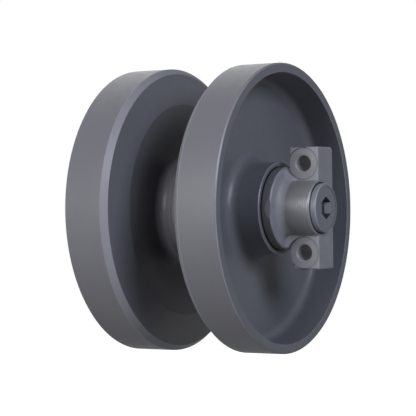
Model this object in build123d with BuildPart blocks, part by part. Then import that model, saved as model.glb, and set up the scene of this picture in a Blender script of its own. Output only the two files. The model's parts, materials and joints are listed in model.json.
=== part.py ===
from build123d import *
import os

# Rear idler of a rubber-track machine. The axle lies along Y and the middle of
# the axle is the origin. Z is up. The flat mounting faces look to +X.
# Each end is modelled once, at +Y, and the same casting or turned piece is
# used at the other end, swung half a turn about X.

# Rims
rim_diameter = 350.0
overall_width = 205.0
tread_width = 50.5
rim_wall = 11.5
rim_draft = 1.0
rim_edge_cut = 1.8
lip_rounding = 1.0

# Guide faces, where the track's lugs run between the wheels
guide_bevel_drop = 6.0
guide_bevel_width = 6.7
ridge_radius = 131.0
ridge_stand = 5.3

# Web
cup_depth = 42.5
web_dish = 11.0
web_root_thickness = 5.4
rim_root_rounding = 11.0
hub_root_rounding = 13.0

# Hub
hub_wall = 4.7
hub_inset = 10.7
middle_wall = 13.0
middle_root_rounding = 10.0
chamber_step = 0.5
edge_cut = 1.0

# Centre tube and its two welds
wheel_width = 78.5
tube_step = 1.0
weld_land = 7.0
weld_half_width = 4.0
weld_crown = 1.8

# Axle
axle_radius = 25.0
shoulder_from_seal = 14.0
axle_end_radius = 22.5
axle_stub_length = 40.0
gallery_radius = 5.0
cross_hole_radius = 4.0
plug_thread_radius = 15.0
plug_thread_depth = 18.0

# Bushings
bushing_wall = 5.0
bushing_length = 32.0
bushing_flange_height = 6.0
bushing_flange_thickness = 4.0
bushing_to_seal = 13.0

# Floating face seals
seal_inset = 8.8
seal_bore_step = 3.5
seal_pocket_height = 10.0
seal_pocket_mouth = 3.0
pocket_rounding = 1.5
seal_lip_height = 7.0
seal_lip_thickness = 2.6
seal_ring_length = 11.0
seal_ramp_tip_height = 2.7
seal_ramp_root_height = 3.9
toric_radius = 3.2
guard_step = 4.4
guard_entry = 3.0

# Brackets
flange_wall = 3.4
flange_to_ear = 3.6
flange_edge_cut = 1.8
flange_face_slope = 1.4
neck_rounding = 8.5
gate_flat_length = 7.5
gate_flat_depth = 2.2
gate_flat_half_width = 20.0
nose_wall = 8.0
nose_root_rounding = 1.5
seal_floor_gap = 1.5
barrel_radius = 33.5
barrel_edge_cut = 1.5
back_plane = 32.4
relief_margin = 0.5
front_plane = -6.0
cast_skin = 1.0
ear_width = 38.4
ear_tip = 19.8
ear_edge_rounding = 2.0
ear_back_rounding = 5.0
ear_corner_width = 5.5
ear_corner_height = 17.0
ear_root_rise = 7.0
ear_root_length = 14.0
ear_root_sink = 1.0
bolt_hole_radius = 9.25
bolt_hole_cut = 1.5
bolt_from_end = 20.2
bolt_spacing = 106.4
spotface_radius = 19.0

# End caps, with their washers
cap_radius = 29.6
cap_stand = 7.3
cap_sink = 7.9
cap_edge_rounding = 2.8
cap_gap = 1.1
cap_dish_radius = 25.5
cap_dish_depth = 0.6
cap_shank_length = 15.0
socket_sides = 6
socket_across_flats = 24.0
socket_depth = 8.5
socket_turn = 30.0
washer_inner_radius = 16.0
washer_outer_radius = 21.5
washer_thickness = 1.5

# Locking pins and the O-rings on the axle
pin_radius = 5.0
pin_from_ear = 5.0
pin_seat = 15.6
pin_sink = 0.4
oring_section_radius = 1.3
oring_from_shoulder = 7.0
oring_groove_width = 4.0

# Clearances
running_gap = 0.05
slip_gap = 0.05
face_gap = 0.03
thrust_gap = 0.3
toric_gap = 0.1

# Places that follow from the sizes above
rim_radius = rim_diameter / 2
rim_face = overall_width / 2
lip_radius = rim_radius - rim_wall
cup_radius = lip_radius - rim_draft
cup_floor = rim_face - cup_depth
tread_inner_edge = rim_face - tread_width
bevel_radius = rim_radius - guide_bevel_drop
bevel_edge = tread_inner_edge - guide_bevel_width
bushing_radius = axle_radius + bushing_wall
bushing_flange_radius = bushing_radius + bushing_flange_height
nose_radius = axle_radius + nose_wall
seal_bore_radius = nose_radius + seal_bore_step
seal_ramp_tip_radius = seal_bore_radius + seal_ramp_tip_height
seal_ramp_root_radius = seal_bore_radius + seal_ramp_root_height
seal_lip_radius = seal_bore_radius + seal_lip_height
seal_pocket_radius = seal_bore_radius + seal_pocket_height
guard_bore_radius = seal_pocket_radius + guard_step
hub_radius = guard_bore_radius + hub_wall
oil_chamber_radius = seal_pocket_radius - chamber_step
middle_radius = oil_chamber_radius + middle_wall
hub_end = rim_face - hub_inset
weld_plane = rim_face - wheel_width
seal_plane = hub_end - seal_inset
bushing_flange_reach = seal_plane - bushing_to_seal
tube_radius = middle_radius - tube_step
weld_root_radius = oil_chamber_radius + weld_land
bushing_seat = bushing_flange_reach - bushing_flange_thickness
bushing_start = bushing_seat - bushing_length
chamber_end = bushing_start - thrust_gap
seal_pocket_end = seal_plane - seal_pocket_mouth
shoulder_reach = seal_plane + shoulder_from_seal
axle_end = shoulder_reach + axle_stub_length
cap_seat = axle_end + washer_thickness
bracket_end = cap_seat + cap_sink
cap_reach = bracket_end + cap_stand
ear_inner_reach = bracket_end - ear_width
flange_reach = ear_inner_reach - flange_to_ear
bolt_reach = bracket_end - bolt_from_end
pin_reach = ear_inner_reach + pin_from_ear
oring_reach = shoulder_reach + oring_from_shoulder
seal_floor = seal_plane + seal_ring_length + seal_floor_gap
flange_radius = seal_pocket_radius + flange_wall
bolt_offset = bolt_spacing / 2
ear_half_height = bolt_offset + ear_tip
cast_front = front_plane - cast_skin
relief_start = flange_reach + flange_face_slope + neck_rounding + relief_margin
toric_offset = seal_ring_length - toric_radius - toric_gap
toric_centre_radius = seal_pocket_radius - toric_gap - toric_radius


# How far from the middle the outer face of the dished web lies
def web_face(radius):
    share = (radius - hub_radius) / (cup_radius - hub_radius)
    return cup_floor - web_dish * (1 - share)


# Half section of a turned piece, from corners of (radius, reach, rounding)
def section(*corners):
    with BuildSketch() as outline:
        with BuildLine():
            FilletPolyline(
                *[(radius, reach) for radius, reach, rounding in corners],
                radius=[rounding for radius, reach, rounding in corners],
                close=True,
            )
        make_face()
    return outline.sketch


# The same piece at the other end of the axle
def other_end(piece):
    with BuildPart() as twin:
        add(piece.part, rotation=(180, 0, 0))
    return twin


# Wheel: rim, dished web and hub in one casting
with BuildPart() as wheel:
    revolve(
        section(
            (bushing_radius + slip_gap, chamber_end, 0),
            (bushing_radius + slip_gap, bushing_seat, 0),
            (seal_pocket_radius, bushing_seat, pocket_rounding),
            (seal_pocket_radius, seal_pocket_end, 0),
            (guard_bore_radius, seal_pocket_end, 0),
            (guard_bore_radius, hub_end, 0),
            (hub_radius - edge_cut, hub_end, 0),
            (hub_radius, hub_end - edge_cut, 0),
            (hub_radius, web_face(hub_radius), hub_root_rounding),
            (cup_radius, cup_floor, rim_root_rounding),
            (lip_radius, rim_face, lip_rounding),
            (rim_radius - rim_edge_cut, rim_face, 0),
            (rim_radius, rim_face - rim_edge_cut, 0),
            (rim_radius, tread_inner_edge, 0),
            (bevel_radius, bevel_edge, 0),
            (ridge_radius, bevel_edge - ridge_stand, 0),
            (middle_radius, web_face(middle_radius) - web_root_thickness, middle_root_rounding),
            (middle_radius, weld_plane + weld_half_width, 0),
            (weld_root_radius, weld_plane, 0),
            (oil_chamber_radius, weld_plane, 0),
            (oil_chamber_radius, chamber_end, pocket_rounding),
        ),
        axis=Axis.Y,
    )

# Centre tube, bevelled at each end for its weld
with BuildPart() as centre_tube:
    revolve(
        section(
            (oil_chamber_radius, -weld_plane, 0),
            (oil_chamber_radius, weld_plane, 0),
            (weld_root_radius, weld_plane, 0),
            (tube_radius, weld_plane - weld_half_width, 0),
            (tube_radius, weld_half_width - weld_plane, 0),
            (weld_root_radius, -weld_plane, 0),
        ),
        axis=Axis.Y,
    )

# Weld bead, with a domed crown
with BuildPart() as weld:
    with BuildSketch() as bead:
        with BuildLine():
            root = (weld_root_radius, weld_plane)
            wheel_toe = (middle_radius, weld_plane + weld_half_width)
            tube_toe = (tube_radius, weld_plane - weld_half_width)
            Line(root, wheel_toe)
            ThreePointArc(wheel_toe, (tube_radius + weld_crown, weld_plane), tube_toe)
            Line(tube_toe, root)
        make_face()
    revolve(axis=Axis.Y)

# Axle: two journals, two stepped ends and an oil gallery right through
with BuildPart() as axle:
    groove_radius = axle_end_radius - 2 * oring_section_radius - slip_gap
    revolve(
        section(
            (gallery_radius, 0, 0),
            (axle_radius, 0, 0),
            (axle_radius, shoulder_reach - edge_cut, 0),
            (axle_radius - edge_cut, shoulder_reach, 0),
            (axle_end_radius, shoulder_reach, 0),
            (axle_end_radius, oring_reach - oring_groove_width / 2, 0),
            (groove_radius, oring_reach - oring_groove_width / 2, 0),
            (groove_radius, oring_reach + oring_groove_width / 2, 0),
            (axle_end_radius, oring_reach + oring_groove_width / 2, 0),
            (axle_end_radius, axle_end - edge_cut, 0),
            (axle_end_radius - edge_cut, axle_end, 0),
            (plug_thread_radius + slip_gap, axle_end, 0),
            (plug_thread_radius + slip_gap, axle_end - plug_thread_depth, 0),
            (gallery_radius, axle_end - plug_thread_depth, 0),
        ),
        axis=Axis.Y,
    )
    mirror(about=Plane.XZ)
    with BuildSketch(Plane.XY):
        Circle(cross_hole_radius)
    extrude(amount=axle_radius, mode=Mode.SUBTRACT)
    with BuildSketch(Plane.YZ.offset(pin_seat)):
        with Locations((pin_reach, 0), (-pin_reach, 0)):
            Circle(pin_radius + slip_gap)
    extrude(amount=axle_radius, mode=Mode.SUBTRACT)

# Flanged bushing, pressed into the wheel
with BuildPart() as bushing:
    revolve(
        section(
            (axle_radius + running_gap, bushing_start, 0),
            (axle_radius + running_gap, bushing_flange_reach - edge_cut, 0),
            (axle_radius + running_gap + edge_cut, bushing_flange_reach, 0),
            (bushing_flange_radius, bushing_flange_reach, 0),
            (bushing_flange_radius, bushing_seat, 0),
            (bushing_radius, bushing_seat, 0),
            (bushing_radius, bushing_start + edge_cut, 0),
            (bushing_radius - edge_cut, bushing_start, 0),
        ),
        axis=Axis.Y,
    )


# Metal seal ring: direction -1 reaches into the wheel, +1 into the bracket
def seal_section(direction):
    def at(distance):
        return seal_plane + direction * distance

    return section(
        (seal_bore_radius, at(face_gap), 0),
        (seal_lip_radius, at(face_gap), 0),
        (seal_lip_radius, at(seal_lip_thickness), 0),
        (seal_ramp_root_radius, at(seal_lip_thickness), 0),
        (seal_ramp_tip_radius, at(seal_ring_length), 0),
        (seal_bore_radius, at(seal_ring_length), 0),
    )


# Rubber ring that presses a seal ring against the other one
def ring_section(centre_radius, reach, section_radius):
    with BuildSketch() as outline:
        with Locations((centre_radius, reach)):
            Circle(section_radius)
    return outline.sketch


with BuildPart() as turning_seal:
    revolve(seal_section(-1), axis=Axis.Y)

with BuildPart() as fixed_seal:
    revolve(seal_section(1), axis=Axis.Y)

with BuildPart() as turning_toric:
    revolve(
        ring_section(toric_centre_radius, seal_plane - toric_offset, toric_radius),
        axis=Axis.Y,
    )

with BuildPart() as fixed_toric:
    revolve(
        ring_section(toric_centre_radius, seal_plane + toric_offset, toric_radius),
        axis=Axis.Y,
    )

with BuildPart() as axle_oring:
    oring_centre_radius = axle_end_radius - oring_section_radius
    revolve(
        ring_section(oring_centre_radius, oring_reach, oring_section_radius),
        axis=Axis.Y,
    )

# Ears of the bracket, one plate above and below the barrel
with BuildPart() as ears:
    with BuildSketch(Plane.YZ.offset(cast_front)):
        with BuildLine():
            Polyline(
                (ear_inner_reach, -ear_half_height),
                (bracket_end, -ear_half_height),
                (bracket_end, ear_half_height),
                (ear_inner_reach + ear_corner_width, ear_half_height),
                (ear_inner_reach, ear_half_height - ear_corner_height),
                close=True,
            )
        make_face()
    extrude(amount=back_plane - cast_front)
    back_corner = edges().filter_by(Axis.Y).group_by(Axis.X)[-1].sort_by(Axis.Z)[0]
    fillet(back_corner, ear_back_rounding)
    front_edges = faces().sort_by(Axis.X)[0].edges()
    side_edges = edges().filter_by(Axis.X)
    fillet(front_edges + side_edges, ear_edge_rounding)

# Sloping roots that fill the corners between the ears and the flange
with BuildPart() as ear_roots:
    with BuildSketch(Plane.XY):
        with BuildLine():
            Polyline(
                (back_plane, flange_reach - ear_root_sink),
                (back_plane, flange_reach + ear_root_length),
                (cast_front, flange_reach + ear_root_length),
                (cast_front - ear_root_rise, flange_reach - ear_root_sink),
                close=True,
            )
        make_face()
    extrude(amount=flange_radius, both=True)
    with BuildSketch(Plane.XZ.offset(-flange_reach + ear_root_sink)):
        Circle(flange_radius - flange_edge_cut)
    extrude(amount=-ear_root_length - ear_root_sink, mode=Mode.INTERSECT)

# Bracket: a barrel round the axle's end, a flange that covers the seal, and the ears
with BuildPart() as bracket:
    revolve(
        section(
            (0, bushing_flange_reach + thrust_gap, 0),
            (nose_radius, bushing_flange_reach + thrust_gap, 0),
            (nose_radius, seal_floor, nose_root_rounding),
            (seal_pocket_radius, seal_floor, pocket_rounding),
            (seal_pocket_radius, seal_plane + guard_entry, 0),
            (flange_radius, seal_plane + guard_entry, 0),
            (flange_radius, flange_reach - flange_edge_cut, 0),
            (flange_radius - flange_edge_cut, flange_reach, 0),
            (barrel_radius, flange_reach + flange_face_slope, neck_rounding),
            (barrel_radius, bracket_end - barrel_edge_cut, 0),
            (barrel_radius - barrel_edge_cut, bracket_end, 0),
            (0, bracket_end, 0),
        ),
        axis=Axis.Y,
    )
    # Sloping flat at the front, where the casting's gate was ground off the flange
    with BuildSketch(Plane.XY):
        with BuildLine():
            Polyline(
                (-flange_radius, flange_reach - gate_flat_length),
                (-flange_radius, flange_reach),
                (gate_flat_depth - flange_radius, flange_reach),
                close=True,
            )
        make_face()
    extrude(amount=gate_flat_half_width, both=True, mode=Mode.SUBTRACT)
    # Flat back, clear of the neck's rounding
    with BuildSketch(Plane.YZ.offset(back_plane)):
        with Locations(((relief_start + bracket_end) / 2, 0)):
            Rectangle(bracket_end - relief_start, 2 * flange_radius)
    extrude(amount=flange_radius, mode=Mode.SUBTRACT)
    add(ears.part)
    add(ear_roots.part)
    # Stepped bore: axle journal, axle end, cap
    revolve(
        section(
            (0, bushing_flange_reach, 0),
            (axle_radius + slip_gap, bushing_flange_reach, 0),
            (axle_radius + slip_gap, shoulder_reach, 0),
            (axle_end_radius + slip_gap, shoulder_reach, 0),
            (axle_end_radius + slip_gap, cap_seat, 0),
            (cap_radius + cap_gap, cap_seat, 0),
            (cap_radius + cap_gap, bracket_end, 0),
            (0, bracket_end, 0),
        ),
        axis=Axis.Y,
        mode=Mode.SUBTRACT,
    )
    # Turned seat round each bolt hole, which also bites into the neck
    with BuildSketch(Plane.YZ.offset(front_plane)):
        with Locations((bolt_reach, bolt_offset), (bolt_reach, -bolt_offset)):
            Circle(spotface_radius)
    extrude(amount=-flange_radius, mode=Mode.SUBTRACT)
    with BuildSketch(Plane.YZ.offset(front_plane)):
        with Locations((bolt_reach, bolt_offset), (bolt_reach, -bolt_offset)):
            Circle(bolt_hole_radius)
    extrude(amount=back_plane - front_plane, mode=Mode.SUBTRACT)
    hole_rims = (
        edges()
        .filter_by(GeomType.CIRCLE)
        .filter_by(lambda edge: abs(edge.radius - bolt_hole_radius) < bolt_hole_cut)
    )
    chamfer(hole_rims.group_by(Axis.X)[0], bolt_hole_cut)
    with BuildSketch(Plane.YZ.offset(back_plane)):
        with Locations((pin_reach, 0)):
            Circle(pin_radius + slip_gap)
    extrude(amount=pin_seat - back_plane, mode=Mode.SUBTRACT)

# Pin that stops the axle from turning in its bracket
with BuildPart() as lock_pin:
    with BuildSketch(Plane.YZ.offset(pin_seat)):
        with Locations((pin_reach, 0)):
            Circle(pin_radius)
    extrude(amount=back_plane - pin_sink - pin_seat)
    chamfer(edges().filter_by(GeomType.CIRCLE), edge_cut)

# Cap screwed into the axle, which clamps the bracket and plugs the oil gallery
with BuildPart() as end_cap:
    revolve(
        section(
            (0, cap_seat - cap_shank_length, 0),
            (plug_thread_radius - edge_cut, cap_seat - cap_shank_length, 0),
            (plug_thread_radius, cap_seat - cap_shank_length + edge_cut, 0),
            (plug_thread_radius, cap_seat, 0),
            (cap_radius, cap_seat, 0),
            (cap_radius, cap_reach, cap_edge_rounding),
            (cap_dish_radius, cap_reach, 0),
            (cap_dish_radius, cap_reach - cap_dish_depth, 0),
            (0, cap_reach - cap_dish_depth, 0),
        ),
        axis=Axis.Y,
    )
    with BuildSketch(Plane.XZ.offset(-cap_reach)):
        RegularPolygon(socket_across_flats / 2, socket_sides, major_radius=False, rotation=socket_turn)
    extrude(amount=socket_depth, mode=Mode.SUBTRACT)

# Sealing washer between the cap and the axle's end
with BuildPart() as cap_washer:
    with BuildSketch(Plane.XZ.offset(-cap_seat)):
        Circle(washer_outer_radius)
        Circle(washer_inner_radius, mode=Mode.SUBTRACT)
    extrude(amount=washer_thickness)

# Write each piece; the paired ones once for each end
pairs = {
    "wheel": wheel,
    "weld": weld,
    "bushing": bushing,
    "turning_seal": turning_seal,
    "turning_toric": turning_toric,
    "fixed_seal": fixed_seal,
    "fixed_toric": fixed_toric,
    "axle_oring": axle_oring,
    "bracket": bracket,
    "lock_pin": lock_pin,
    "end_cap": end_cap,
    "cap_washer": cap_washer,
}

os.makedirs("parts", exist_ok=True)

centre_tube.part.label = "centre_tube"
export_step(centre_tube.part, "parts/centre_tube.step")

axle.part.label = "axle"
export_step(axle.part, "parts/axle.step")

for name, piece in pairs.items():
    for side, copy in (("left", piece), ("right", other_end(piece))):
        copy.part.label = f"{side}_{name}"
        export_step(copy.part, f"parts/{side}_{name}.step")
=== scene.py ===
# Track rear idler: finishes, weld beads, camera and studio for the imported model.
# Lengths are in metres, in the model's own frame: Y is the axle, Z is up and the
# brackets' flat mounting faces look to +X. Radius is measured from the axle, and
# reach along it from the middle, alike at both ends.
import json
import math

import bpy
from mathutils import Matrix, Vector


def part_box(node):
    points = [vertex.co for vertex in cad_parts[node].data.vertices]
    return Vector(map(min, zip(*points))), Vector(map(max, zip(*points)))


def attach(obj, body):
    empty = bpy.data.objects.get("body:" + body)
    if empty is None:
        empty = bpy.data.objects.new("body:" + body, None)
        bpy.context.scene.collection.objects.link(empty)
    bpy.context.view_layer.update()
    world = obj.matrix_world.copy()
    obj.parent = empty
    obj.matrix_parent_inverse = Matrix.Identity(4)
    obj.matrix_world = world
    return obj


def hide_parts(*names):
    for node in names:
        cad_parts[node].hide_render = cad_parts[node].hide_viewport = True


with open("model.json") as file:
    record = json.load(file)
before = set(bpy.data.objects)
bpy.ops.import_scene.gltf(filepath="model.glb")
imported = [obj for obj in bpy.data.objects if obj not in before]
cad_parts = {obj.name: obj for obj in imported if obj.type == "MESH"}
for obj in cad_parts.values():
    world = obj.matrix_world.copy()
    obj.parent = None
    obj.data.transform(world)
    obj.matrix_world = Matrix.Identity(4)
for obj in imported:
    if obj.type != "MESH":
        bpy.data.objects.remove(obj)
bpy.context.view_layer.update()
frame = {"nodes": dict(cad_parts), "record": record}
nodes = frame["nodes"]
mm = 0.001
noiseSpan = (0.3, 0.7)  # nearly all values of a noise texture lie between these
print("frame loaded,", len(nodes), "nodes")


def linearColour(hexCode):
    # sRGB hex to the linear colour that the sockets take
    channels = [int(hexCode[i:i + 2], 16) / 255 for i in (1, 3, 5)]
    linear = [c / 12.92 if c <= 0.04045 else ((c + 0.055) / 1.055) ** 2.4 for c in channels]
    return (*linear, 1.0)


def addNode(tree, kind, settings=None, inputs=None):
    # One node with its settings; an input is a plain value or another node's socket.
    # A Mix node takes its two colours as inputs 6 and 7, and two plain numbers as 2 and 3.
    node = tree.nodes.new(kind)
    for name, value in (settings or {}).items():
        setattr(node, name, value)
    for name, value in (inputs or {}).items():
        if isinstance(value, bpy.types.NodeSocket):
            tree.links.new(value, node.inputs[name])
        else:
            node.inputs[name].default_value = value
    return node


def startMaterial(name):
    # Material with a shader and the piece's own coordinates, which are also the frame's
    material = bpy.data.materials.new(name)
    material.use_nodes = True
    tree = material.node_tree
    tree.nodes.clear()
    shader = addNode(tree, "ShaderNodeBsdfPrincipled")
    addNode(tree, "ShaderNodeOutputMaterial", None, {"Surface": shader.outputs["BSDF"]})
    place = addNode(tree, "ShaderNodeTexCoord").outputs["Object"]
    return material, tree, shader, place


def finishShader(tree, shader, colour, roughness, normal):
    tree.links.new(colour, shader.inputs["Base Color"])
    tree.links.new(roughness, shader.inputs["Roughness"])
    tree.links.new(normal, shader.inputs["Normal"])


def splitPlace(tree, place):
    # X and Z of a point, its radius from the axle and its reach along it
    split = addNode(tree, "ShaderNodeSeparateXYZ", None, {"Vector": place})
    across = addNode(tree, "ShaderNodeCombineXYZ", None,
                     {"X": split.outputs["X"], "Y": split.outputs["Z"]})
    radius = addNode(tree, "ShaderNodeVectorMath", {"operation": "LENGTH"},
                     {0: across.outputs["Vector"]}).outputs["Value"]
    reach = addNode(tree, "ShaderNodeMath", {"operation": "ABSOLUTE"},
                    {0: split.outputs["Y"]}).outputs[0]
    return split.outputs["X"], split.outputs["Z"], radius, reach


def sectionGap(tree, across, along, point):
    # How far a place in a section through the piece lies from one point of that section
    here = addNode(tree, "ShaderNodeCombineXYZ", None, {"X": across, "Y": along})
    return addNode(tree, "ShaderNodeVectorMath", {"operation": "DISTANCE"},
                   {0: here.outputs["Vector"], 1: (*point, 0)}).outputs["Value"]


def overlapOf(tree, *masks):
    # The place that lies in all of the masks
    shared = masks[0]
    for mask in masks[1:]:
        shared = addNode(tree, "ShaderNodeMath", {"operation": "MULTIPLY"},
                         {0: shared, 1: mask}).outputs[0]
    return shared


def layCoats(tree, skin, coats, look):
    # Each coat is a mask and the name of its colour, and lies over the ones before it
    for mask, colour in coats:
        skin = addNode(tree, "ShaderNodeMix", {"data_type": "RGBA"},
                       {"Factor": mask, 6: skin, 7: linearColour(look[colour])}).outputs[2]
    return skin


def turnedRings(tree, radius, reach, look):
    # Lathe rings, at equal steps of radius on the faces and of reach on the cylinders
    along = addNode(tree, "ShaderNodeMath", {"operation": "ADD"}, {0: radius, 1: reach})
    phase = addNode(tree, "ShaderNodeMath", {"operation": "MULTIPLY"},
                    {0: along.outputs[0], 1: 2 * math.pi / look["ringPitch"]})
    rings = addNode(tree, "ShaderNodeMath", {"operation": "SINE"}, {0: phase.outputs[0]})
    bump = addNode(tree, "ShaderNodeBump", None,
                   {"Height": rings.outputs[0], "Distance": look["ringHeight"], "Strength": 1.0})
    return bump.outputs["Normal"]


def dress(nodeNames, material):
    for nodeName in nodeNames:
        mesh = nodes[nodeName].data
        mesh.materials.clear()
        mesh.materials.append(material)


def bothEnds(name):
    return [f"left_{name}", f"right_{name}"]


# Satin enamel sprayed over an iron casting that had been turned on a lathe.
# To the eye: one even blue grey with a broad soft sheen, a trace of cloudiness in
# the tone and faint turning rings under the paint. It is paler on the edges, where the
# paint draws thin and a painted highlight lies, and on the bevel, a painted highlight.
# Painted shade darkens the groove between the wheels, the foot of the web and the
# hub's bore.
wheelRadius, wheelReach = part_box("left_wheel")[1].xy
wheelEnamel = {
    "colour": "#7a7a80",
    "cloudColour": "#727279",
    "cloudSize": 55 * mm,
    "mottleSize": 9 * mm,
    "mottleShare": 0.5,        # how much of the cloudiness is mottle
    "roughness": (0.33, 0.43),
    "peelSize": 2.4 * mm,      # the real peel is about 1 mm, too fine to show
    "peelHeight": 0.02 * mm,
    "ringPitch": 2.6 * mm,     # a feed of 0.4 mm in life, coarser here so that it shows
    "ringHeight": 0.005 * mm,
    # painted highlight on the edges, where the paint also draws thin
    "edgeThinAndHighlightColour": "#a6a6ae",
    "edgeWidth": 1.3 * mm,
    "edges": ((wheelRadius - 0.9 * mm, wheelReach - 0.9 * mm),   # tread
              (wheelRadius - 11.5 * mm, wheelReach - 0.1 * mm),  # inside of the rim
              (55.1 * mm, wheelReach - 11.2 * mm)),              # hub
    "bevelHighlightColour": "#8f8f97",  # painted highlight on the bevel that leads the guide lugs in
    "bevelMiddle": (wheelRadius - 3.0 * mm, wheelReach - 53.85 * mm),
    "bevelHalf": 4.6 * mm,
    "bevelFade": 1 * mm,
    "grooveShadeColour": "#67676c", # painted shade in the groove between the wheels
    "grooveReach": 47 * mm,
    "creaseFade": (129.5 * mm, 131.5 * mm),
    "rootFade": (64 * mm, 76 * mm),
    "deepShadeColour": "#3a3a40",   # painted shade, darkest at the foot of the web
    "deepFade": (82 * mm, 118 * mm),
    "hubBoreAndGapShadeColour": "#232225",   # unpainted inside the hub, and painted shade in its gap by the bracket
    "boreRadius": 51.1 * mm,
}


def makeWheelEnamel(look):
    material, tree, shader, place = startMaterial("satin_enamel_on_turned_cast_iron")
    _, _, radius, reach = splitPlace(tree, place)
    clouds = addNode(tree, "ShaderNodeTexNoise", None,
                     {"Vector": place, "Scale": 1 / look["cloudSize"], "Detail": 4.0})
    mottle = addNode(tree, "ShaderNodeTexNoise", None,
                     {"Vector": place, "Scale": 1 / look["mottleSize"], "Detail": 5.0,
                      "Roughness": 0.65})
    tone = addNode(tree, "ShaderNodeMath", {"operation": "MULTIPLY_ADD"},
                   {0: mottle.outputs["Fac"], 1: look["mottleShare"],
                    2: -look["mottleShare"] / 2})
    tone = addNode(tree, "ShaderNodeMath", {"operation": "ADD"},
                   {0: tone.outputs[0], 1: clouds.outputs["Fac"]})
    body = addNode(tree, "ShaderNodeMix", {"data_type": "RGBA"},
                   {"Factor": tone.outputs[0], 6: linearColour(look["colour"]),
                    7: linearColour(look["cloudColour"])})
    gaps = [sectionGap(tree, radius, reach, edge) for edge in look["edges"]]
    nearest = gaps[0]
    for gap in gaps[1:]:
        nearest = addNode(tree, "ShaderNodeMath", {"operation": "MINIMUM"},
                          {0: gap, 1: nearest}).outputs[0]
    nearEdge = addNode(tree, "ShaderNodeMapRange", {"interpolation_type": "SMOOTHSTEP"},
                       {"Value": nearest, "From Max": look["edgeWidth"],
                        "To Min": 1.0, "To Max": 0.0})
    thin = overlapOf(tree, nearEdge.outputs["Result"], mottle.outputs["Fac"])
    bevelGap = sectionGap(tree, radius, reach, look["bevelMiddle"])
    onBevel = addNode(tree, "ShaderNodeMapRange", {"interpolation_type": "SMOOTHSTEP"},
                      {"Value": bevelGap, "From Min": look["bevelHalf"],
                       "From Max": look["bevelHalf"] + look["bevelFade"],
                       "To Min": 1.0, "To Max": 0.0})
    pastRoot = addNode(tree, "ShaderNodeMapRange", {"interpolation_type": "SMOOTHSTEP"},
                       {"Value": radius, "From Min": look["rootFade"][0],
                        "From Max": look["rootFade"][1]})
    insideCrease = addNode(tree, "ShaderNodeMapRange", {"interpolation_type": "SMOOTHSTEP"},
                           {"Value": radius, "From Min": look["creaseFade"][0],
                            "From Max": look["creaseFade"][1], "To Min": 1.0, "To Max": 0.0})
    innerSide = addNode(tree, "ShaderNodeMath", {"operation": "LESS_THAN"},
                        {0: reach, 1: look["grooveReach"]})
    inGroove = overlapOf(tree, pastRoot.outputs["Result"], insideCrease.outputs["Result"],
                         innerSide.outputs[0])
    nearRoot = addNode(tree, "ShaderNodeMapRange", {"interpolation_type": "SMOOTHSTEP"},
                       {"Value": radius, "From Min": look["deepFade"][0],
                        "From Max": look["deepFade"][1], "To Min": 1.0, "To Max": 0.0})
    deepDown = overlapOf(tree, inGroove, nearRoot.outputs["Result"])
    inBore = addNode(tree, "ShaderNodeMath", {"operation": "LESS_THAN"},
                     {0: radius, 1: look["boreRadius"]})
    # Painted highlights on the edges and bevel, painted shade in the groove, at the web's foot and
    # in the bore
    coats = ((thin, "edgeThinAndHighlightColour"), (onBevel.outputs["Result"], "bevelHighlightColour"),
             (inGroove, "grooveShadeColour"), (deepDown, "deepShadeColour"),
             (inBore.outputs[0], "hubBoreAndGapShadeColour"))
    skin = layCoats(tree, body.outputs[2], coats, look)
    sheen = addNode(tree, "ShaderNodeMapRange", None,
                    {"Value": mottle.outputs["Fac"], "From Min": noiseSpan[0],
                     "From Max": noiseSpan[1], "To Min": look["roughness"][0],
                     "To Max": look["roughness"][1]})
    peel = addNode(tree, "ShaderNodeTexNoise", None,
                   {"Vector": place, "Scale": 1 / look["peelSize"], "Detail": 2.0})
    peelBump = addNode(tree, "ShaderNodeBump", None,
                       {"Height": peel.outputs["Fac"], "Distance": look["peelHeight"],
                        "Strength": 1.0, "Normal": turnedRings(tree, radius, reach, look)})
    finishShader(tree, shader, skin, sheen.outputs["Result"], peelBump.outputs["Normal"])
    return material


dress(bothEnds("wheel") + ["centre_tube"], makeWheelEnamel(wheelEnamel))


# The same enamel over a sand casting, part of it machined before painting.
# To the eye: flatter than the wheels, and painted paler than them as painted light,
# with a fine sandy grain on the rough skin. The turned barrel and the spot-faced seats
# round the bolt holes are smoother and carry rings of their own, and a little metal
# shows through on the barrel. Painted shade lines each seat and lies on the flange's
# rim and beside the hub.
boltPattern = next(m for m in frame["record"]["mounts"] if m["name"] == "left_bolts")
bracketEnamel = {
    # these colours are painted light: the wheels' enamel made paler for the light on the bracket
    "colour": "#a3a3a9",
    "cloudColour": "#87878d",
    "cloudSize": 30 * mm,
    "roughness": (0.42, 0.56),
    "grainSize": 1.9 * mm,     # moulding sand is about 0.5 mm, coarser here so that it shows
    "grainHeight": 0.16 * mm,
    "machinedColour": "#97979c",
    "machinedRoughness": 0.4,
    "machinedGrain": 0.55,     # how much of the grain the paint keeps where it was machined
    "barrelColour": "#8e8e92",
    "barrelShine": 0.32,       # how metallic the thin coat on the barrel looks
    "barrelRadius": 33.9 * mm,
    "barrelReach": 114.4 * mm,
    "ringPitch": 2.2 * mm,     # drawn coarser than the tool's real feed
    "ringHeight": 0.05 * mm,
    "seatMiddle": (boltPattern["dims"]["spacing_y_mm"] / 2 * mm, boltPattern["pos_m"][1]),
    "seatRadius": 19 * mm,
    "seatPlane": (-6.4 * mm, -4.8 * mm),
    "seatPitch": 1.8 * mm,
    # painted shade at the foot of the step round each seat
    "seatStepShadeColour": "#68686c",
    "lineHalf": 0.5 * mm,      # half the width of the painted shade line round each seat
    "rimShadeColour": "#707075",    # painted shade on the flange's turned rim
    "rimRadius": 47.6 * mm,
    "rimReach": 103.0 * mm,
    "greasedBoreAndGapShadeColour": "#1e1e20",   # greased in the bore, and painted shade beside the hub
    "gapShadeReach": 93.2 * mm,
    "boreRadius": 30.9 * mm,
}


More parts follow.
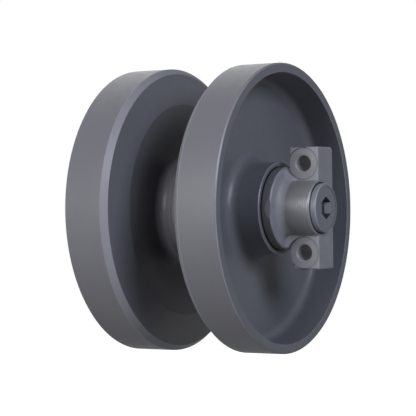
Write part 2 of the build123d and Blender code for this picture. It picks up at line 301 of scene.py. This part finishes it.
def makeBracketEnamel(look):
    material, tree, shader, place = startMaterial("satin_enamel_on_sand_cast_iron")
    depth, rise, radius, reach = splitPlace(tree, place)
    height = addNode(tree, "ShaderNodeMath", {"operation": "ABSOLUTE"}, {0: rise})
    # The machined seats lie round the bolt holes, and face -X at both ends
    seatGap = sectionGap(tree, height.outputs[0], reach, look["seatMiddle"])
    inSeat = addNode(tree, "ShaderNodeMath", {"operation": "LESS_THAN"},
                     {0: seatGap, 1: look["seatRadius"]})
    planeFrom, planeTo = look["seatPlane"]
    atFront = addNode(tree, "ShaderNodeMath", {"operation": "COMPARE"},
                      {0: depth, 1: (planeFrom + planeTo) / 2, 2: (planeTo - planeFrom) / 2})
    seat = overlapOf(tree, inSeat.outputs[0], atFront.outputs[0])
    underSkin = addNode(tree, "ShaderNodeMath", {"operation": "LESS_THAN"},
                        {0: radius, 1: look["barrelRadius"]})
    pastNeck = addNode(tree, "ShaderNodeMath", {"operation": "GREATER_THAN"},
                       {0: reach, 1: look["barrelReach"]})
    barrel = overlapOf(tree, underSkin.outputs[0], pastNeck.outputs[0])
    machined = addNode(tree, "ShaderNodeMath", {"operation": "MAXIMUM"}, {0: seat, 1: barrel})
    # A line of painted shade round each seat on the ear's front, at the foot of its step
    lineGap = addNode(tree, "ShaderNodeMath", {"operation": "COMPARE"},
                      {0: seatGap, 1: look["seatRadius"], 2: look["lineHalf"]})
    frontHalf = addNode(tree, "ShaderNodeMath", {"operation": "LESS_THAN"}, {0: depth, 1: 0.0})
    line = overlapOf(tree, lineGap.outputs[0], frontHalf.outputs[0])
    # Painted shade on the flange's rim
    onRim = addNode(tree, "ShaderNodeMath", {"operation": "GREATER_THAN"},
                    {0: radius, 1: look["rimRadius"]})
    beforeNeck = addNode(tree, "ShaderNodeMath", {"operation": "LESS_THAN"},
                         {0: reach, 1: look["rimReach"]})
    rim = overlapOf(tree, onRim.outputs[0], beforeNeck.outputs[0])
    # Painted shade beside the hub, and the greased bore
    byHub = addNode(tree, "ShaderNodeMath", {"operation": "LESS_THAN"},
                    {0: reach, 1: look["gapShadeReach"]})
    inBore = addNode(tree, "ShaderNodeMath", {"operation": "LESS_THAN"},
                     {0: radius, 1: look["boreRadius"]})
    boreAndGapShade = addNode(tree, "ShaderNodeMath", {"operation": "MAXIMUM"},
                   {0: byHub.outputs[0], 1: inBore.outputs[0]})
    clouds = addNode(tree, "ShaderNodeTexNoise", None,
                     {"Vector": place, "Scale": 1 / look["cloudSize"], "Detail": 6.0,
                      "Roughness": 0.7})
    body = addNode(tree, "ShaderNodeMix", {"data_type": "RGBA"},
                   {"Factor": clouds.outputs["Fac"], 6: linearColour(look["colour"]),
                    7: linearColour(look["cloudColour"])})
    coats = ((machined.outputs[0], "machinedColour"), (barrel, "barrelColour"),
             (line, "seatStepShadeColour"), (rim, "rimShadeColour"), (boreAndGapShade.outputs[0], "greasedBoreAndGapShadeColour"))
    skin = layCoats(tree, body.outputs[2], coats, look)
    shine = addNode(tree, "ShaderNodeMath", {"operation": "MULTIPLY"},
                    {0: barrel, 1: look["barrelShine"]})
    tree.links.new(shine.outputs[0], shader.inputs["Metallic"])
    sheen = addNode(tree, "ShaderNodeMapRange", None,
                    {"Value": clouds.outputs["Fac"], "From Min": noiseSpan[0],
                     "From Max": noiseSpan[1], "To Min": look["roughness"][0],
                     "To Max": look["roughness"][1]})
    sheen = addNode(tree, "ShaderNodeMix", {"data_type": "FLOAT"},
                    {"Factor": machined.outputs[0], 2: sheen.outputs["Result"],
                     3: look["machinedRoughness"]})
    grain = addNode(tree, "ShaderNodeTexNoise", None,
                    {"Vector": place, "Scale": 1 / look["grainSize"], "Detail": 3.0,
                     "Roughness": 0.7})
    grainShare = addNode(tree, "ShaderNodeMapRange", None,
                         {"Value": machined.outputs[0], "To Min": 1.0,
                          "To Max": look["machinedGrain"]})
    grainBump = addNode(tree, "ShaderNodeBump", None,
                        {"Height": grain.outputs["Fac"], "Distance": look["grainHeight"],
                         "Strength": grainShare.outputs["Result"]})
    # Rings run along the barrel, and round the bolt hole on a seat
    barrelPhase = addNode(tree, "ShaderNodeMath", {"operation": "MULTIPLY"},
                          {0: reach, 1: 2 * math.pi / look["ringPitch"]})
    seatPhase = addNode(tree, "ShaderNodeMath", {"operation": "MULTIPLY"},
                        {0: seatGap, 1: 2 * math.pi / look["seatPitch"]})
    phase = addNode(tree, "ShaderNodeMix", {"data_type": "FLOAT"},
                    {"Factor": seat, 2: barrelPhase.outputs[0], 3: seatPhase.outputs[0]})
    rings = addNode(tree, "ShaderNodeMath", {"operation": "SINE"}, {0: phase.outputs[0]})
    ringBump = addNode(tree, "ShaderNodeBump", None,
                       {"Height": rings.outputs[0], "Distance": look["ringHeight"],
                        "Strength": machined.outputs[0], "Normal": grainBump.outputs["Normal"]})
    finishShader(tree, shader, skin, sheen.outputs[0], ringBump.outputs["Normal"])
    return material


dress(bothEnds("bracket"), makeBracketEnamel(bracketEnamel))


# The same enamel over a steel cap turned from bar.
# To the eye: the smoothest and bluest of the painted pieces, with fine rings round
# the face and a paler rim, where the paint wears thin and a painted highlight lies.
# The socket is painted shade, but for two upright flats with a painted highlight, and
# below the bracket's end the cap is painted shade.
capRadius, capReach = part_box("left_end_cap")[1].xy
capEnamel = {
    "colour": "#83858d",
    "cloudColour": "#787a83",
    "cloudSize": 18 * mm,
    "roughness": (0.34, 0.42),
    "ringPitch": 1.9 * mm,     # drawn coarser than the real feed of 0.2 mm
    "ringHeight": 0.006 * mm,
    # painted highlight on the rim, where the paint also wears thin
    "edgeThinAndHighlightColour": "#a8aab2",
    "edgeMiddle": (capRadius - 0.8 * mm, capReach - 0.8 * mm),
    "edgeWidth": 1.2 * mm,
    "edgeThinness": 0.7,
    "gapShadeColour": "#1c1c1e",    # painted shade in the gap below the bracket's end
    "gapReach": capReach - 7.0 * mm,
    # painted shade in the socket
    "socketShadeColour": "#3e3e42",
    "socketRadius": 14.2 * mm,
    "socketReach": capReach - 0.8 * mm,
    "flatHighlightColour": "#d2d2d4",   # painted highlight on the socket's two upright flats
    "flatPlane": (11.7 * mm, 12.3 * mm),  # how far from the axis they stand
    "flatHalf": 6.7 * mm,
}


def makeCapEnamel(look):
    material, tree, shader, place = startMaterial("satin_enamel_on_turned_steel")
    depth, rise, radius, reach = splitPlace(tree, place)
    clouds = addNode(tree, "ShaderNodeTexNoise", None,
                     {"Vector": place, "Scale": 1 / look["cloudSize"], "Detail": 5.0})
    body = addNode(tree, "ShaderNodeMix", {"data_type": "RGBA"},
                   {"Factor": clouds.outputs["Fac"], 6: linearColour(look["colour"]),
                    7: linearColour(look["cloudColour"])})
    edgeGap = sectionGap(tree, radius, reach, look["edgeMiddle"])
    thin = addNode(tree, "ShaderNodeMapRange", {"interpolation_type": "SMOOTHSTEP"},
                   {"Value": edgeGap, "From Max": look["edgeWidth"],
                    "To Min": look["edgeThinness"], "To Max": 0.0})
    inGap = addNode(tree, "ShaderNodeMath", {"operation": "LESS_THAN"},
                    {0: reach, 1: look["gapReach"]})
    nearAxis = addNode(tree, "ShaderNodeMath", {"operation": "LESS_THAN"},
                       {0: radius, 1: look["socketRadius"]})
    underFace = addNode(tree, "ShaderNodeMath", {"operation": "LESS_THAN"},
                        {0: reach, 1: look["socketReach"]})
    inSocket = overlapOf(tree, nearAxis.outputs[0], underFace.outputs[0])
    # Painted highlight on the socket's two upright flats
    aside = addNode(tree, "ShaderNodeMath", {"operation": "ABSOLUTE"}, {0: depth})
    height = addNode(tree, "ShaderNodeMath", {"operation": "ABSOLUTE"}, {0: rise})
    planeFrom, planeTo = look["flatPlane"]
    onPlane = addNode(tree, "ShaderNodeMath", {"operation": "COMPARE"},
                      {0: aside.outputs[0], 1: (planeFrom + planeTo) / 2,
                       2: (planeTo - planeFrom) / 2})
    betweenCorners = addNode(tree, "ShaderNodeMath", {"operation": "LESS_THAN"},
                             {0: height.outputs[0], 1: look["flatHalf"]})
    litFlats = overlapOf(tree, onPlane.outputs[0], betweenCorners.outputs[0], inSocket)
    coats = ((thin.outputs["Result"], "edgeThinAndHighlightColour"), (inGap.outputs[0], "gapShadeColour"),
             (inSocket, "socketShadeColour"), (litFlats, "flatHighlightColour"))
    skin = layCoats(tree, body.outputs[2], coats, look)
    sheen = addNode(tree, "ShaderNodeMapRange", None,
                    {"Value": clouds.outputs["Fac"], "From Min": noiseSpan[0],
                     "From Max": noiseSpan[1], "To Min": look["roughness"][0],
                     "To Max": look["roughness"][1]})
    rings = turnedRings(tree, radius, reach, look)
    finishShader(tree, shader, skin, sheen.outputs["Result"], rings)
    return material


dress(bothEnds("end_cap"), makeCapEnamel(capEnamel))

# Bare metals inside the idler, each made on a lathe or grinder. They differ in colour,
# in how even the tone is and in how coarse the rings round the axle are.
bareMetals = {
    # Ground carbon steel: cool bright grey, very fine rings, a tight streaky gloss
    "ground_carbon_steel": {
        "pieces": ["axle"], "colour": "#a3a4a6", "stainColour": "#8f9092",
        "roughness": (0.22, 0.34), "stainSize": 40 * mm, "ringPitch": 1.2 * mm,
        "ringHeight": 0.004 * mm},
    # Hardened dowel steel, slightly browned: darker, with an even dull gloss
    "hardened_dowel_steel": {
        "pieces": bothEnds("lock_pin"), "colour": "#8d8c8b", "stainColour": "#75716d",
        "roughness": (0.28, 0.4), "stainSize": 12 * mm, "ringPitch": 1.0 * mm,
        "ringHeight": 0.003 * mm},
    # Turned leaded bronze: warm yellow brown with visible tool rings
    "turned_leaded_bronze": {
        "pieces": bothEnds("bushing"), "colour": "#b08d4f", "stainColour": "#8f6c3a",
        "roughness": (0.28, 0.42), "stainSize": 15 * mm, "ringPitch": 1.4 * mm,
        "ringHeight": 0.01 * mm},
    # Lapped chilled iron: dark grey with a near mirror sheen
    "lapped_chilled_iron": {
        "pieces": bothEnds("turning_seal") + bothEnds("fixed_seal"), "colour": "#7d7e80",
        "stainColour": "#66676a", "roughness": (0.16, 0.3), "stainSize": 20 * mm,
        "ringPitch": 1.0 * mm, "ringHeight": 0.002 * mm},
    # Annealed copper: soft red with cloudy brown stains from the heat
    "annealed_copper": {
        "pieces": bothEnds("cap_washer"), "colour": "#b87a5e", "stainColour": "#7d5245",
        "roughness": (0.3, 0.5), "stainSize": 6 * mm, "ringPitch": 1.5 * mm,
        "ringHeight": 0.003 * mm},
}
stainSpan = (0.35, 0.7)  # of the noise: below it the metal is clean, above it full of stain


def makeBareMetal(name, look):
    material, tree, shader, place = startMaterial(name)
    _, _, radius, reach = splitPlace(tree, place)
    stains = addNode(tree, "ShaderNodeTexNoise", None,
                     {"Vector": place, "Scale": 1 / look["stainSize"], "Detail": 6.0,
                      "Roughness": 0.6})
    tone = addNode(tree, "ShaderNodeMapRange", {"interpolation_type": "SMOOTHSTEP"},
                   {"Value": stains.outputs["Fac"], "From Min": stainSpan[0],
                    "From Max": stainSpan[1]})
    body = addNode(tree, "ShaderNodeMix", {"data_type": "RGBA"},
                   {"Factor": tone.outputs["Result"], 6: linearColour(look["colour"]),
                    7: linearColour(look["stainColour"])})
    sheen = addNode(tree, "ShaderNodeMapRange", None,
                    {"Value": stains.outputs["Fac"], "From Min": noiseSpan[0],
                     "From Max": noiseSpan[1], "To Min": look["roughness"][0],
                     "To Max": look["roughness"][1]})
    shader.inputs["Metallic"].default_value = 1.0
    rings = turnedRings(tree, radius, reach, look)
    finishShader(tree, shader, body.outputs[2], sheen.outputs["Result"], rings)
    return material


for metalName, metal in bareMetals.items():
    dress(metal["pieces"], makeBareMetal(metalName, metal))


# Nitrile rubber, moulded. To the eye: near black, matt, with a faint grey bloom.
sealRubber = {
    "colour": "#1b1b1d",
    "bloomColour": "#2c2c2f",
    "bloomSize": 8 * mm,
    "roughness": (0.5, 0.65),
    "grainSize": 1.0 * mm,
    "grainHeight": 0.02 * mm,
}


def makeSealRubber(look):
    material, tree, shader, place = startMaterial("moulded_nitrile_rubber")
    bloom = addNode(tree, "ShaderNodeTexNoise", None,
                    {"Vector": place, "Scale": 1 / look["bloomSize"], "Detail": 5.0})
    skin = addNode(tree, "ShaderNodeMix", {"data_type": "RGBA"},
                   {"Factor": bloom.outputs["Fac"], 6: linearColour(look["colour"]),
                    7: linearColour(look["bloomColour"])})
    sheen = addNode(tree, "ShaderNodeMapRange", None,
                    {"Value": bloom.outputs["Fac"], "To Min": look["roughness"][0],
                     "To Max": look["roughness"][1]})
    grain = addNode(tree, "ShaderNodeTexNoise", None,
                    {"Vector": place, "Scale": 1 / look["grainSize"], "Detail": 2.0})
    grainBump = addNode(tree, "ShaderNodeBump", None,
                        {"Height": grain.outputs["Fac"], "Distance": look["grainHeight"],
                         "Strength": 1.0})
    finishShader(tree, shader, skin.outputs[2], sheen.outputs["Result"],
                 grainBump.outputs["Normal"])
    return material


dress(bothEnds("turning_toric") + bothEnds("fixed_toric") + bothEnds("axle_oring"),
      makeSealRubber(sealRubber))
print("finishes made")


# Painted weld beads between the centre tube and the wheels, laid in overlapping
# crescents by a rotating table
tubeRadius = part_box("centre_tube")[1].x
weldLow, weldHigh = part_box("left_weld")
weldBead = {
    "tubeToe": (tubeRadius, weldLow.y),             # radius and reach
    "wheelToe": (tubeRadius + 1 * mm, weldHigh.y),
    "crown": 1.25 * mm,
    "sink": 0.5 * mm,            # how far the toes go under the surfaces they join
    "ripples": 124,              # one crescent about every 3 mm
    "rippleDepth": 0.42 * mm,
    "crescent": 1.9,             # how far the crescents bow back at the toes, in radians
    "wander": 0.35 * mm,         # of the toes along the axle, in a slow and a quick wave
    "waves": (7, 19),
    "quickShare": 0.6,
    "stepsAround": 1240,
    "stepsAcross": 14,
}


def makeWeldBead(name, sign, look):
    around, across = look["stepsAround"], look["stepsAcross"]
    tubeEdge, wheelEdge = look["tubeToe"], look["wheelToe"]
    slow, quick = look["waves"]
    points, faces = [], []
    for i in range(around):
        turn = 2 * math.pi * i / around
        wave = math.sin(slow * turn) + look["quickShare"] * math.sin(quick * turn + sign)
        for j in range(across + 1):
            share = j / across
            offset = 2 * share - 1
            dome = 1 - offset * offset
            ripple = math.cos(look["ripples"] * turn + look["crescent"] * offset * offset)
            radius = tubeEdge[0] + share * (wheelEdge[0] - tubeEdge[0])
            radius += dome * (look["crown"] - look["rippleDepth"] * (0.5 - 0.5 * ripple))
            if j in (0, across):
                radius -= look["sink"]
            reach = tubeEdge[1] + share * (wheelEdge[1] - tubeEdge[1])
            reach += look["wander"] * wave * abs(offset) * dome
            points.append((radius * math.cos(turn), sign * reach, radius * math.sin(turn)))
    row = across + 1
    for i in range(around):
        following = (i + 1) % around
        for j in range(across):
            corners = (i * row + j, following * row + j, following * row + j + 1, i * row + j + 1)
            faces.append(corners if sign > 0 else corners[::-1])
    mesh = bpy.data.meshes.new(name)
    mesh.from_pydata(points, [], faces)
    mesh.polygons.foreach_set("use_smooth", [True] * len(faces))
    bead = bpy.data.objects.new(name, mesh)
    bpy.context.scene.collection.objects.link(bead)
    return bead


# Satin enamel over a weld left as it was laid. To the eye: the wheels' grey, a little
# darker in patches, with a rougher sheen.
weldEnamel = {
    "colour": "#77767b",
    "spatterColour": "#69686d",
    "spatterSize": 3 * mm,
    "roughness": (0.42, 0.55),
    "grainHeight": 0.05 * mm,
}


def makeWeldEnamel(look):
    material, tree, shader, place = startMaterial("satin_enamel_on_weld_bead")
    spatter = addNode(tree, "ShaderNodeTexNoise", None,
                      {"Vector": place, "Scale": 1 / look["spatterSize"], "Detail": 4.0,
                       "Roughness": 0.7})
    skin = addNode(tree, "ShaderNodeMix", {"data_type": "RGBA"},
                   {"Factor": spatter.outputs["Fac"], 6: linearColour(look["colour"]),
                    7: linearColour(look["spatterColour"])})
    sheen = addNode(tree, "ShaderNodeMapRange", None,
                    {"Value": spatter.outputs["Fac"], "To Min": look["roughness"][0],
                     "To Max": look["roughness"][1]})
    grainBump = addNode(tree, "ShaderNodeBump", None,
                        {"Height": spatter.outputs["Fac"], "Distance": look["grainHeight"],
                         "Strength": 1.0})
    finishShader(tree, shader, skin.outputs[2], sheen.outputs["Result"],
                 grainBump.outputs["Normal"])
    return material


weldFinish = makeWeldEnamel(weldEnamel)
for side, sign in (("left", 1), ("right", -1)):
    bead = makeWeldBead(f"{side}_weld_bead", sign, weldBead)
    bead.data.materials.append(weldFinish)
    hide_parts(f"{side}_weld")
    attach(bead, "wheel_group")
print("weld beads made")


# Camera, set up from the fitted view of the photograph
photoView = {
    "pixels": 416,
    "focalPixels": 1636.9,
    "distance": 2.0201,        # from the middle of the axle
    "offAxleDegrees": 59.84,   # between the line of sight and the axle
    "rollDegrees": 0.69,
    "centrePixel": (214.74, 209.2),
    "sensor": 36.0,            # millimetres, as Blender takes it
    "farthest": 50.0,
}


def makeCamera(view):
    data = bpy.data.cameras.new("photoCamera")
    camera = bpy.data.objects.new("photoCamera", data)
    bpy.context.scene.collection.objects.link(camera)
    angle = math.radians(view["offAxleDegrees"])
    up = Vector((0, 0, 1))
    towards = Vector((-math.sin(angle), -math.cos(angle), 0))
    turn = Matrix((up.cross(towards), up, towards)).transposed().to_4x4()
    roll = Matrix.Rotation(math.radians(-view["rollDegrees"]), 4, "Z")
    camera.matrix_world = Matrix.Translation(towards * view["distance"]) @ turn @ roll
    data.sensor_width = view["sensor"]
    data.lens = view["sensor"] * view["focalPixels"] / view["pixels"]
    middle = view["pixels"] / 2
    data.shift_x = (middle - view["centrePixel"][0]) / view["pixels"]
    data.shift_y = (view["centrePixel"][1] - middle) / view["pixels"]
    data.clip_end = view["farthest"]
    bpy.context.scene.camera = camera


makeCamera(photoView)


# Soft studio lamps, all looking at the middle of the axle. Azimuth and height are in
# degrees, azimuth from the front of the idler, -X, towards its near end, -Y. Power is
# in watts.
lamps = {
    # Main light on the treads, from above
    "frontKey": {"azimuth": -4, "height": 19, "away": 2.6, "size": (1.0, 1.0), "power": 34,
                 "colour": "#ffffff"},
    # Level with the axle, for the lower half
    "lowKey": {"azimuth": -14, "height": 0, "away": 2.6, "size": (1.0, 1.0), "power": 10,
               "colour": "#ffffff"},
    # A little cool, on the near end and into its dish
    "endKey": {"azimuth": 66, "height": 25, "away": 2.6, "size": (1.0, 1.0), "power": 29,
               "colour": "#e6efff"},
    # Wide and weak, for the back and the far end
    "backFill": {"azimuth": 232, "height": 34, "away": 2.6, "size": (2.4, 2.4), "power": 18,
                 "colour": "#ffffff"},
}


def makeLamp(name, lamp):
    data = bpy.data.lights.new(name, "AREA")
    data.shape = "RECTANGLE"
    data.size, data.size_y = lamp["size"]
    data.energy = lamp["power"]
    data.color = linearColour(lamp["colour"])[:3]
    turn, rise = math.radians(lamp["azimuth"]), math.radians(lamp["height"])
    direction = Vector((-math.cos(turn) * math.cos(rise), -math.sin(turn) * math.cos(rise),
                        math.sin(rise)))
    light = bpy.data.objects.new(name, data)
    light.location = direction * lamp["away"]
    light.rotation_euler = direction.to_track_quat("Z", "Y").to_euler()
    bpy.context.scene.collection.objects.link(light)


for lampName, lamp in lamps.items():
    makeLamp(lampName, lamp)


# Pale studio: white behind the idler, and a matt paper floor that keeps its shadow
studio = {
    "backdropColour": "#ffffff",
    "reflected": 0.38,         # how bright the white stands in the idler's gloss
    "paperColour": "#f4f4f4",
    "bounceColour": "#8c8c8c", # the paper as the idler sees it, darker
    "floorDrop": 0.45,         # below the axle: the idler hangs in the air, as in the photo
    "floorHalf": 12.0,
    "nearGlow": 0.6,           # near the idler the camera sees this much white and the lit
    "farGlow": 1.0,            # paper, which keeps the shadow, and far off all white
    "glowReach": (0.5, 1.45),
}


def seenWhite(tree, rays, look):
    # All of the white for the camera, a share in gloss and glass, none as light
    mirrored = addNode(tree, "ShaderNodeMath", {"operation": "MAXIMUM"},
                       {0: rays.outputs["Is Glossy Ray"], 1: rays.outputs["Is Transmission Ray"]})
    mirrored = addNode(tree, "ShaderNodeMath", {"operation": "MULTIPLY"},
                       {0: mirrored.outputs[0], 1: look["reflected"]})
    return addNode(tree, "ShaderNodeMath", {"operation": "MAXIMUM"},
                   {0: rays.outputs["Is Camera Ray"], 1: mirrored.outputs[0]}).outputs[0]


def makeWorld(look):
    world = bpy.data.worlds.new("studioWorld")
    bpy.context.scene.world = world
    world.use_nodes = True
    tree = world.node_tree
    tree.nodes.clear()
    rays = addNode(tree, "ShaderNodeLightPath")
    white = addNode(tree, "ShaderNodeBackground", None,
                    {"Color": linearColour(look["backdropColour"]),
                     "Strength": seenWhite(tree, rays, look)})
    addNode(tree, "ShaderNodeOutputWorld", None, {"Surface": white.outputs["Background"]})


def makeFloor(look):
    half = look["floorHalf"]
    mesh = bpy.data.meshes.new("studioFloor")
    corners = [(-half, -half, 0), (half, -half, 0), (half, half, 0), (-half, half, 0)]
    mesh.from_pydata(corners, [], [(0, 1, 2, 3)])
    floor = bpy.data.objects.new("studioFloor", mesh)
    floor.location = (0, 0, -look["floorDrop"])
    bpy.context.scene.collection.objects.link(floor)
    material = bpy.data.materials.new("matt_white_paper")
    material.use_nodes = True
    tree = material.node_tree
    tree.nodes.clear()
    rays = addNode(tree, "ShaderNodeLightPath")
    shade = addNode(tree, "ShaderNodeMix", {"data_type": "RGBA"},
                    {"Factor": rays.outputs["Is Camera Ray"], 6: linearColour(look["bounceColour"]),
                     7: linearColour(look["paperColour"])})
    paper = addNode(tree, "ShaderNodeBsdfDiffuse", None, {"Color": shade.outputs[2]})
    place = addNode(tree, "ShaderNodeTexCoord").outputs["Object"]
    away = addNode(tree, "ShaderNodeVectorMath", {"operation": "LENGTH"}, {0: place})
    glow = addNode(tree, "ShaderNodeMapRange", {"interpolation_type": "SMOOTHSTEP"},
                   {"Value": away.outputs["Value"], "From Min": look["glowReach"][0],
                    "From Max": look["glowReach"][1], "To Min": look["nearGlow"],
                    "To Max": look["farGlow"]})
    strength = addNode(tree, "ShaderNodeMath", {"operation": "MULTIPLY"},
                       {0: seenWhite(tree, rays, look), 1: glow.outputs["Result"]})
    white = addNode(tree, "ShaderNodeEmission", None,
                    {"Color": linearColour(look["backdropColour"]),
                     "Strength": strength.outputs[0]})
    both = addNode(tree, "ShaderNodeAddShader", None,
                   {0: paper.outputs["BSDF"], 1: white.outputs["Emission"]})
    addNode(tree, "ShaderNodeOutputMaterial", None, {"Surface": both.outputs["Shader"]})
    mesh.materials.append(material)


makeWorld(studio)
makeFloor(studio)
bpy.context.scene.view_settings.view_transform = "Standard"
print("camera, lamps and studio placed")
